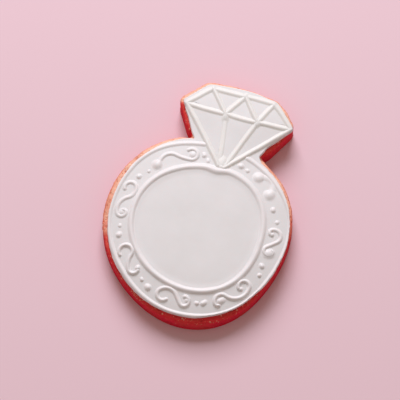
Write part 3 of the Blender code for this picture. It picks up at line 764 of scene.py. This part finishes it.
def swollen(stops, half_width, height, ends, blob_height):
    """Half-width and height along a stroke whose ends swell to round blobs of their own radius."""
    width = np.full(len(stops), half_width)
    tall = np.full(len(stops), height)
    for radius, distance in ((ends[0], stops), (ends[1], stops[-1] - stops)):
        circle = radius * np.sqrt(np.clip(1 - (distance / (BLOB_REACH * radius)) ** 2, 0.0, None))
        if radius > BLOB_FROM * half_width:
            width = soft_max(width, circle)
            tall = soft_max(tall, blob_height * circle / radius)
        elif radius < half_width:
            taper = np.clip(distance / END_TAPER, 0.0, 1.0)
            width = width * (radius / half_width + (1 - radius / half_width) * taper)
    return width, tall


def kept_on_coat(xy):
    """Plan points with those beyond the coat's edge, or nearly, moved back to just inside it, the way that
    the depth inside the edge grows fastest."""
    steps = SLOPE_STEP * np.eye(2)
    inwards = np.stack([edge_depth(xy + step) - edge_depth(xy - step) for step in steps], axis=-1)
    inwards /= np.maximum(np.linalg.norm(inwards, axis=-1, keepdims=True), TINY)
    return xy + np.maximum(EDGE_KEPT - edge_depth(xy), 0.0)[..., None] * inwards


def rounded_down(xy, top):
    """Heights brought down to the dough over the last bit before the coat's edge, along a quarter of an
    ellipse."""
    short = np.clip((EDGE_ROUNDING - edge_depth(xy)) / EDGE_ROUNDING, 0.0, 1.0)
    foot = dough_top(xy) - COAT_SINK
    return foot + (top - foot) * np.sqrt(1 - short**2)


def with_noses(values):
    """Values along a path, with its first and its last again for each row of the rounded noses."""
    return np.concatenate([np.repeat(values[:1], NOSE_ROWS, 0), values, np.repeat(values[-1:], NOSE_ROWS, 0)])


def path_turns(path, closed):
    """Unit tangents and left normals of a plan path, and how much it bends to the left: one over the bend's
    radius on a closed path, and two over it on an open one."""
    tangent = np.roll(path, -1, axis=0) - np.roll(path, 1, axis=0) if closed else np.gradient(path, axis=0)
    step = np.linalg.norm(tangent, axis=1)
    tangent = tangent / step[:, None]
    side = np.stack([-tangent[:, 1], tangent[:, 0]], axis=1)
    turning = np.roll(tangent, -1, axis=0) - np.roll(tangent, 1, axis=0)
    if not closed:
        turning[0], turning[-1] = turning[1], turning[-2]
    return tangent, side, (turning * side).sum(1) / step


def bead_grid(path, width, tall, closed, seed, roundness=BEAD_ROUNDNESS):
    """Points and faces of a bead along a plan path. Each cross-section runs from the left skirt over the
    crest to the right skirt and back underneath, and an open path ends in a rounded nose. A skirt stops short
    of the middle of a bend on its own side."""
    tangent, side, bend = path_turns(path, closed)
    stations = flat_points(path, seed * SEED_RISE)
    width = width * (1 + UNEVEN * noise(stations, UNEVEN_SIZE, seed))
    tall = tall * (1 + UNEVEN_HEIGHT * noise(stations, UNEVEN_HEIGHT_SIZE, seed + 1))
    ahead = np.zeros(len(path))
    if not closed:
        nose = np.sin(np.radians(np.linspace(0, 90, NOSE_ROWS + 1)))[1:]
        ahead = np.concatenate([-SKIRT * width[0] * nose[::-1], ahead, SKIRT * width[-1] * nose])
        path, tangent, side, bend, width, tall = map(with_noses, (path, tangent, side, bend, width, tall))
    reach = np.sqrt(np.clip((SKIRT * width) ** 2 - ahead**2, 0.0, None))
    room = BEND_ROOM / np.maximum(np.abs(bend), TINY)
    left_reach = np.where(bend > 0, np.minimum(reach, room), reach)
    right_reach = np.where(bend < 0, np.minimum(reach, room), reach)
    # Columns lie closer together towards the skirts' ends than evenly, and less so than on an arc.
    even = np.linspace(1, -1, BEAD_COLUMNS)
    spread = 0.5 * np.sin(np.radians(90) * even) + 0.5 * even
    across = np.where(spread[None] > 0, left_reach[:, None], right_reach[:, None]) * spread[None]
    centre = path + ahead[:, None] * tangent
    xy = kept_on_coat(centre[:, None] + across[..., None] * side[:, None])
    share = np.sqrt(across**2 + ahead[:, None] ** 2) / width[:, None]
    ground = coat_top(xy)
    top = rounded_down(xy, ground + tall[:, None] * bead_height(share, roundness) - SKIRT_DIP)
    upper = np.concatenate([xy, top[..., None]], axis=-1)
    under = upper[:, [-1, 0]].copy()
    under[..., 2] = np.minimum(ground[:, [-1, 0]], under[..., 2]) - BEAD_SINK
    points = np.concatenate([upper, under], axis=1)
    return points, grid_faces(points.shape[0], points.shape[1], closed, True)


def outward_faces(faces):
    """The same quads with their corners the other way round."""
    return faces[:, ::-1]


def path_of(ring, low, high):
    """Evenly spaced points on a ring curve between two angles."""
    line = ring_points(ring, np.arange(low, high + 0.5 * CURVE_STEP, CURVE_STEP))
    length = np.linalg.norm(np.diff(line, axis=0), axis=1).sum()
    return even_steps(line, int(length / BEAD_SPACING))


def make_border(finish):
    """The bead near the coat's edge: slimmer and higher on the ring's far side, and open under the gem."""
    path = path_of(BORDER_RING, *BORDER["ends"])
    far_side = -path[:, 1] / BORDER_RING.radius
    width = BORDER["half_width"] * (1 - BORDER["slimming"] * np.clip(far_side, 0, 1))
    tall = BORDER["height"] + BORDER["lean"] * far_side
    points, faces = bead_grid(path, width, tall, False, SEEDS["border"])
    return make_piece("piped_border", points, outward_faces(faces), finish, "piped_icing", ["border_line"])


def make_inner_line(finish):
    """The bead round the middle, drawn in towards it where its two ends were joined."""
    path = path_of(INNER_RING, 0.0, 360.0)[:-1]
    outward = path - np.array(INNER_RING.centre)
    outward /= np.linalg.norm(outward, axis=1, keepdims=True)
    angle = np.degrees(np.arctan2(outward[:, 1], outward[:, 0])) % 360
    pinch = pinch_share(angle)
    path = path - outward * (PINCH["depth"] * pinch)[:, None]
    # The bead lies broader to one side of the gem, and higher on the far side.
    spread = np.clip(np.cos(np.radians(angle - INNER["spread_at"])), 0, 1)
    broad = INNER["half_width"] + INNER["spread"] * spread
    tall = INNER["height"] - INNER["lean"] * outward[:, 1]
    swell = 1 + PINCH["swell"] * pinch
    points, faces = bead_grid(path, broad * swell, tall * swell, True, SEEDS["inner_line"])
    faces = outward_faces(faces)
    return make_piece("piped_inner_line", points, faces, finish, "piped_icing", ["inner_ring_line"])


def follow_bends(start, heading, bends):
    """A fine line that leaves a point with a heading and follows arcs of (radius, turn)."""
    position = np.array(start, dtype=float)
    direction = np.radians(heading)
    line = [position[None]]
    for radius, turn in bends:
        sense = np.sign(turn)
        centre = position + sense * radius * np.array([-np.sin(direction), np.cos(direction)])
        angles = direction + np.radians(np.linspace(0.0, turn, BEND_POINTS)[1:])
        line.append(centre + sense * radius * np.stack([np.sin(angles), -np.cos(angles)], axis=1))
        position = line[-1][-1]
        direction = angles[-1]
    return np.concatenate(line)


def trimmed(line, start, end):
    """An open line without its first and last stretch."""
    along = np.concatenate([[0.0], np.cumsum(np.linalg.norm(np.diff(line, axis=0), axis=1))])
    stops = np.linspace(start, along[-1] - end, STROKE_POINTS)
    return np.stack([np.interp(stops, along, line[:, axis]) for axis in (0, 1)], axis=1)


def make_scroll(name, scroll, seed, finish):
    """A stroke with its end blobs, and the blobs that fill its curls."""
    line = follow_bends(scroll.start, scroll.heading, scroll.bends)
    line = trimmed(line, *scroll.ends)
    length = np.linalg.norm(np.diff(line, axis=0), axis=1).sum()
    path = even_steps(line, int(length / STROKE_SPACING))
    stops = np.linspace(0, length, len(path))
    width, tall = swollen(stops, scroll.half_width, scroll.height, scroll.ends, scroll.blob_height)
    points, faces = bead_grid(path, width, tall, False, seed)
    grids = [(points, outward_faces(faces))]
    grids += [dome_grid(*fill, seed=seed + FILL_SEEDS + k) for k, fill in enumerate(scroll.fills)]
    return make_piece("piped_" + name, *joined(grids), finish, "piped_icing", [name])


def joined(grids):
    """Points and faces of several grids as one set."""
    points = [points.reshape(-1, 3) for points, faces in grids]
    starts = np.cumsum([0] + [len(these) for these in points])
    faces = [faces + start for (_, faces), start in zip(grids, starts)]
    return np.concatenate(points), np.concatenate(faces)


def dome_grid(x, y, radius, height, tail=0.0, direction=0.0, seed=0, roundness=BEAD_ROUNDNESS):
    """A low dome with a bead's section, a little uneven, drawn out into a short tail by the cube of the
    cosine of the angle from the tail."""
    around = np.radians(np.linspace(0, 360, PEARL_ROUND, endpoint=False))
    circle = np.stack([np.cos(around), np.sin(around)], axis=-1)
    share = SKIRT * np.sin(np.radians(np.linspace(90, 0, PEARL_ROWS)))[:, None]
    towards_tail = np.clip(np.cos(around - np.radians(direction)), 0, 1)
    reach = radius * (1 + UNEVEN * noise(flat_points(circle), PEARL_UNEVEN_SIZE, seed))
    out = share * (reach + tail * towards_tail**3)[None]
    xy = kept_on_coat(np.array([x, y]) + out[..., None] * circle[None])
    ground = coat_top(xy)
    top = rounded_down(xy, ground + height * bead_height(share, roundness) - SKIRT_DIP)
    upper = np.concatenate([xy, top[..., None]], axis=-1)
    under = upper[:1].copy()
    under[..., 2] = np.minimum(ground[:1], under[..., 2]) - BEAD_SINK
    middle = np.broadcast_to(np.array([x, y, under[..., 2].mean()]), under.shape)
    points = np.concatenate([middle, under, upper], axis=0)
    return points, grid_faces(points.shape[0], points.shape[1], False, True)


def make_pearl(name, pearl, seed, finish):
    """One dot of icing."""
    points, faces = dome_grid(*pearl, seed=seed)
    return make_piece("piped_" + name, points, faces, finish, "piped_icing", [name])


def make_gem_lines(finish):
    """Each line of the gem as its own bead with rounded ends, bowed by half a sine wave and swaying a little,
    and a blob where lines were joined."""
    grids = []
    for index, (first, last, half_width, height, bow) in enumerate(GEM_LINES):
        start, end = np.array(GEM_POINTS[first]), np.array(GEM_POINTS[last])
        length = np.linalg.norm(end - start)
        share = np.linspace(0, 1, max(int(length / BEAD_SPACING), GEM_LINE_STEPS) + 1)[:, None]
        across = np.array([start[1] - end[1], end[0] - start[0]]) / length
        across = across if across[1] >= 0 else -across
        straight = start + share * (end - start)
        sway = GEM_SWAY * noise(flat_points(straight), GEM_SWAY_SIZE, SEEDS["gem_sway"] + index)[:, None]
        path = straight + (bow * np.sin(np.pi * share) + sway) * across
        width = np.full(len(path), half_width)
        tall = np.full(len(path), height)
        roundness = FLAT_ROUNDNESS if height < FLAT_UP_TO else BEAD_ROUNDNESS
        seed = SEEDS["gem_lines"] + LINE_SEEDS * index
        points, faces = bead_grid(path, width, tall, False, seed, roundness)
        grids.append((points, outward_faces(faces)))
    grids += [dome_grid(*blob, seed=SEEDS["gem_blobs"] + index) for index, blob in enumerate(GEM_BLOBS)]
    grids.append(dome_grid(*GEM_FILL, seed=SEEDS["gem_fill"]))
    return make_piece("piped_gem_lines", *joined(grids), finish, "piped_icing", ["gem_lines"])


# ---- Finishes ----
BLACK = (0.0, 0.0, 0.0)
# The dough's colour at shares of its height, redder and darker down the side: partly real bake, partly
# painted shade and painted pink bounce light. First for the sides that face away from the shaded heading,
# then with deeper painted shade for those that face it
LIT_SIDE_DOUGH = (
    (0.0, (0.50, 0.035, 0.03)), (0.2, (0.55, 0.045, 0.035)), (0.66, (0.64, 0.075, 0.045)),
    (0.82, (0.88, 0.29, 0.17)), (0.92, (1.0, 0.64, 0.47)),
)
SHADED_SIDE_DOUGH = (
    (0.0, (0.72, 0.012, 0.045)), (0.6, (0.78, 0.016, 0.05)), (0.82, (0.84, 0.035, 0.045)),
    (0.92, (0.88, 0.085, 0.075)),
)
TOASTED = (0.58, 0.09, 0.05)
PALE_SPECK = (0.94, 0.64, 0.44)
PALE_CRUMB = (0.97, 0.72, 0.52)
# painted shade at the bottom of the side's pits
PAINTED_PIT_SHADE = (0.34, 0.02, 0.015)
DOUGH_ROUGHNESS, DOUGH_SHINE = 0.82, 0.12
FLOOD_PALE, FLOOD_DEEP, FLOOD_ROUGHNESS = (0.845, 0.822, 0.825), (0.815, 0.792, 0.79), 0.5
RING_PIPING_PALE, RING_PIPING_DEEP = (0.90, 0.86, 0.865), (0.87, 0.83, 0.83)
GEM_PIPING_PALE, GEM_PIPING_DEEP = (0.90, 0.87, 0.845), (0.87, 0.84, 0.81)
PIPING_ROUGHNESS = 0.42
ICING_SHINE = 0.4
ICING_GLOW, ICING_GLOW_DEPTH = 0.12, 0.8    # how much light passes under the icing's surface, and how deep
ICING_GLOW_TINT = (1.0, 0.72, 0.66)
FLOOR_COLOUR, FLOOR_ROUGHNESS, FLOOR_SHINE = (0.88, 0.63, 0.70), 0.9, 0.2


def new_finish(name, roughness):
    """A material with a Principled shader, a helper to add nodes, and the object's own coordinates."""
    material = bpy.data.materials.new(name)
    material.use_nodes = True
    tree = material.node_tree
    shader = tree.nodes["Principled BSDF"]
    shader.inputs["Roughness"].default_value = roughness

    def node(kind, **values):
        """A new node. Each value goes to the input of that name, or else to the node's own setting."""
        made = tree.nodes.new(kind)
        for key, value in values.items():
            if key in made.inputs:
                made.inputs[key].default_value = value
            else:
                setattr(made, key, value)
        return made

    coords = node("ShaderNodeTexCoord").outputs["Object"]
    return material, tree, shader, node, coords


def noise_node(node, tree, coords, scale_mm, detail=3.0, rough_share=0.55):
    """Noise whose blotches are about scale_mm wide."""
    made = node("ShaderNodeTexNoise", Scale=1.0 / (scale_mm * MM), Detail=detail, Roughness=rough_share)
    tree.links.new(coords, made.inputs["Vector"])
    return made.outputs["Fac"]


def ramp(node, tree, source, stops):
    """A colour for each value of the source: even blends between stops of (value, colour)."""
    made = node("ShaderNodeValToRGB")
    tree.links.new(source, made.inputs["Fac"])
    elements = made.color_ramp.elements
    for index, (position, colour) in enumerate(stops):
        element = elements[index] if index < 2 else elements.new(position)
        element.position = position
        element.color = (*colour, 1.0)
    return made.outputs["Color"]


def share_ramp(node, tree, source, low, high, most):
    """A share that rises evenly from nothing at low to the most at high."""
    return ramp(node, tree, source, ((low, BLACK), (high, (most, most, most))))


def mix_colours(node, tree, share, first, second):
    """The first colour turned into the second one by a share. The share and the first are outputs of other
    nodes, and the second is a colour or an output."""
    made = node("ShaderNodeMix", data_type="RGBA")
    tree.links.new(share, made.inputs["Factor"])
    tree.links.new(first, made.inputs["A"])
    if isinstance(second, tuple):
        made.inputs["B"].default_value = (*second, 1.0)
    else:
        tree.links.new(second, made.inputs["B"])
    return made.outputs["Result"]


def add_bump(node, tree, shader, layers):
    """Bumps on top of each other: (source, height in mm, strength)."""
    normal = None
    for source, height, strength in layers:
        bump = node("ShaderNodeBump", Strength=strength, Distance=height * MM)
        tree.links.new(source, bump.inputs["Height"])
        if normal is not None:
            tree.links.new(normal, bump.inputs["Normal"])
        normal = bump.outputs["Normal"]
    tree.links.new(normal, shader.inputs["Normal"])


def icing_finish(name, pale, deep, roughness):
    """Dry royal icing: satin, with slow blotches of tone and a fine sugary grain."""
    material, tree, shader, node, coords = new_finish(name, roughness)
    blotch = noise_node(node, tree, coords, 11.0)
    tone = ramp(node, tree, blotch, ((0.3, deep), (0.7, pale)))
    tree.links.new(tone, shader.inputs["Base Color"])
    grain = noise_node(node, tree, coords, 0.35, 2.0)
    swirl = noise_node(node, tree, coords, 2.4, 2.0)
    add_bump(node, tree, shader, ((swirl, 0.05, 0.35), (grain, 0.02, 0.5)))
    shader.inputs["Subsurface Weight"].default_value = ICING_GLOW
    shader.inputs["Subsurface Scale"].default_value = ICING_GLOW_DEPTH * MM
    shader.inputs["Subsurface Radius"].default_value = ICING_GLOW_TINT
    shader.inputs["Specular IOR Level"].default_value = ICING_SHINE
    return material


def dough_finish(name, loose):
    """Baked dough: pale at the rim and darker down the side, partly bake and partly painted shade, with
    deeper painted shade where the side's painted shade mark says, then toasted in patches, with pale specks,
    and painted shade in the pits by the depth mark.

    Loose crumbs have no pits, and are mottled from the side's colour to pale instead."""
    material, tree, shader, node, coords = new_finish(name, DOUGH_ROUGHNESS)
    patch = noise_node(node, tree, coords, 7.0, 4.0, 0.6)
    fine = noise_node(node, tree, coords, 0.9, 4.0, 0.65)
    split = node("ShaderNodeSeparateXYZ")
    tree.links.new(coords, split.inputs["Vector"])
    height = node("ShaderNodeMapRange", **{"From Min": 0.0, "From Max": DOUGH_TOP * MM})
    tree.links.new(split.outputs["Z"], height.inputs["Value"])
    pale = ramp(node, tree, height.outputs["Result"], LIT_SIDE_DOUGH)
    dark = ramp(node, tree, height.outputs["Result"], SHADED_SIDE_DOUGH)
    # painted shade: the lit and the shaded copy of the dough's colour, mixed by the side's painted shade mark
    painted_shade_share = node("ShaderNodeAttribute", attribute_name="painted_shade").outputs["Fac"]
    baked_and_shaded = mix_colours(node, tree, painted_shade_share, pale, dark)
    baked_and_shaded = mix_colours(node, tree, share_ramp(node, tree, patch, 0.42, 0.75, 0.45), baked_and_shaded, TOASTED)
    baked_and_shaded = mix_colours(node, tree, share_ramp(node, tree, fine, 0.62, 0.82, 0.38), baked_and_shaded, PALE_SPECK)
    if loose:
        mottle = noise_node(node, tree, coords, 0.8, 1.0)
        baked_and_shaded = mix_colours(node, tree, share_ramp(node, tree, mottle, 0.4, 0.7, 0.7), baked_and_shaded, PALE_CRUMB)
    else:
        # painted shade in the pits, by their depth
        pit = node("ShaderNodeAttribute", attribute_name="depth").outputs["Fac"]
        baked_and_shaded = mix_colours(node, tree, share_ramp(node, tree, pit, 0.28, 0.62, 0.75), baked_and_shaded, PAINTED_PIT_SHADE)
    tree.links.new(baked_and_shaded, shader.inputs["Base Color"])
    crumb = noise_node(node, tree, coords, 0.7, 6.0, 0.7)
    add_bump(node, tree, shader, ((crumb, 0.25, 0.6),))
    shader.inputs["Specular IOR Level"].default_value = DOUGH_SHINE
    return material


def floor_finish():
    """A pale, matt, even pink."""
    material, tree, shader, node, coords = new_finish("pale_floor", FLOOR_ROUGHNESS)
    shader.inputs["Base Color"].default_value = (*FLOOR_COLOUR, 1.0)
    shader.inputs["Specular IOR Level"].default_value = FLOOR_SHINE
    return material


# ---- The cookie ----
dough = dough_finish("baked_dough", False)
crumbs = dough_finish("dough_crumbs", True)
flood = icing_finish("flood_icing", FLOOD_PALE, FLOOD_DEEP, FLOOD_ROUGHNESS)
ring_piping = icing_finish("piped_icing_ring", RING_PIPING_PALE, RING_PIPING_DEEP, PIPING_ROUGHNESS)
gem_piping = icing_finish("piped_icing_gem", GEM_PIPING_PALE, GEM_PIPING_DEEP, PIPING_ROUGHNESS)

make_biscuit(dough)
make_crumbs(crumbs)
make_coat(flood)
make_border(ring_piping)
make_inner_line(ring_piping)
make_gem_lines(gem_piping)
for index, (name, scroll) in enumerate(SCROLLS.items()):
    make_scroll(name, scroll, SEEDS["scrolls"] + SCROLL_SEEDS * index, ring_piping)
for index, (name, pearl) in enumerate(PEARLS.items()):
    make_pearl(name, pearl, SEEDS["pearls"] + index, ring_piping)

# ---- Floor, light and camera ----
FLOOR_HALF = 2.0            # metres
floor_corners = [(x * FLOOR_HALF, y * FLOOR_HALF, 0.0) for x, y in ((-1, -1), (1, -1), (1, 1), (-1, 1))]
floor_mesh = bpy.data.meshes.new("floor")
floor_mesh.from_pydata(floor_corners, [], [(0, 1, 2, 3)])
floor_mesh.materials.append(floor_finish())
floor = bpy.data.objects.new("floor", floor_mesh)
bpy.context.scene.collection.objects.link(floor)

# The camera and the light, in metres
CAMERA_TURN = 18.3          # degrees round from straight over the ring's far side
CAMERA_ELEVATION = 70.0
CAMERA_DISTANCE = 0.7
CAMERA_AIM = (0.0, 0.0, 0.011)
CAMERA_SHIFT = (0.0004487, 0.012163)        # right and up of the aim
CAMERA_CLIP = (0.01, 10.0)
LENS, SENSOR = 154.35, 36.0
WINDOW = {"heading": 112.0, "elevation": 43.0, "distance": 1.4, "size": 0.8, "power": 18.7}
WINDOW_COLOUR = (0.93, 0.935, 1.0)
ROOM_COLOUR, ROOM_STRENGTH = (1.0, 0.85, 0.73), 0.31


def camera_axes():
    """Unit vectors to the camera's back, right and up, from its turn and elevation."""
    turn, rise = np.radians(CAMERA_TURN), np.radians(CAMERA_ELEVATION)
    back = np.array([np.sin(turn) * np.cos(rise), -np.cos(turn) * np.cos(rise), np.sin(rise)])
    right = np.array([np.cos(turn), np.sin(turn), 0.0])
    return back, right, np.cross(back, right)


def place(thing, position, back, right, up):
    """Put a camera or a light at a position, with its own axes along right, up and back, and link it."""
    matrix = np.eye(4)
    matrix[:3, 0], matrix[:3, 1], matrix[:3, 2], matrix[:3, 3] = right, up, back, position
    thing.matrix_world = Matrix(matrix.tolist())
    bpy.context.scene.collection.objects.link(thing)


back, right, up = camera_axes()
camera_data = bpy.data.cameras.new("camera")
camera_data.lens = LENS
camera_data.sensor_width = SENSOR
camera_data.clip_start, camera_data.clip_end = CAMERA_CLIP
camera = bpy.data.objects.new("camera", camera_data)
camera_aim = np.array(CAMERA_AIM) + CAMERA_SHIFT[0] * right + CAMERA_SHIFT[1] * up
place(camera, camera_aim + CAMERA_DISTANCE * back, back, right, up)
bpy.context.scene.camera = camera


def soft_light(name, heading, elevation, distance, size, power, colour):
    """A square soft light that looks at the cookie from a heading (degrees from +X) and an elevation."""
    data = bpy.data.lights.new(name, "AREA")
    data.size = size
    data.energy = power
    data.color = colour
    turn, rise = np.radians(heading), np.radians(elevation)
    towards = np.array([np.cos(turn) * np.cos(rise), np.sin(turn) * np.cos(rise), np.sin(rise)])
    across = np.array([-np.sin(turn), np.cos(turn), 0.0])
    place(bpy.data.objects.new(name, data), towards * distance, towards, across, np.cross(towards, across))


soft_light("window", **WINDOW, colour=WINDOW_COLOUR)
world = bpy.data.worlds.new("studio")
world.use_nodes = True
room = world.node_tree.nodes["Background"]
room.inputs["Color"].default_value = (*ROOM_COLOUR, 1.0)
room.inputs["Strength"].default_value = ROOM_STRENGTH
bpy.context.scene.world = world
bpy.context.scene.view_settings.view_transform = "Standard"

bpy.context.view_layer.update()
